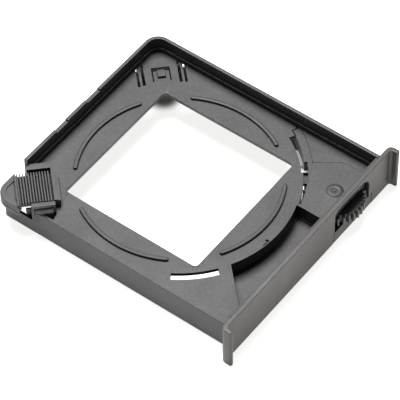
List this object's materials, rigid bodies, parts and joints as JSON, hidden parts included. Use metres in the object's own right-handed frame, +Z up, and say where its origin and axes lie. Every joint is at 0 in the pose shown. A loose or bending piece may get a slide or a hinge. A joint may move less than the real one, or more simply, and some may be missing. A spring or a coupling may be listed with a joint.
{
  "type": "negative carrier",
  "caption": "Moulded film carrier tray with a square window, a drawer front with finger lips, a toothed thumbwheel and a ribbed sliding corner latch.",
  "frame": {"origin": "bottom centre of the bounding box, on the plane the tray stands on", "axes": "+Z up through the film window, +Y from the drawer front to the back, +X to the right seen from the drawer front"},
  "size_m": [0.1048, 0.1104, 0.0192],
  "materials": {
    "tray": "fine moulded grain, dark grey",
    "front_plate": "satin, dark grey",
    "thumbwheel": "satin, near black",
    "wheel_pin": "satin, dark grey",
    "wheel_cover": "satin, dark grey",
    "latch_slider": "fine moulded grain, dark grey"
  },
  "bodies": {
    "carrier": {"tray": "tray", "front_plate": "front_plate", "wheel_pin": "wheel_pin", "wheel_cover": "wheel_cover"},
    "wheel": {"thumbwheel": "thumbwheel"},
    "latch": {"latch_slider": "latch_slider"}
  },
  "joints": [
    {"name": "wheel_spin", "type": "hinge", "parent": "carrier", "child": "wheel", "pos_m": [0.0271, -0.04346, 0.0083], "axis": [0, 0, 1], "continuous": true},
    {"name": "latch_slide", "type": "slide", "parent": "carrier", "child": "latch", "axis": [-0.7071, 0.7071, 0], "range_m": [-0.0042, 0.0006]}
  ]
}
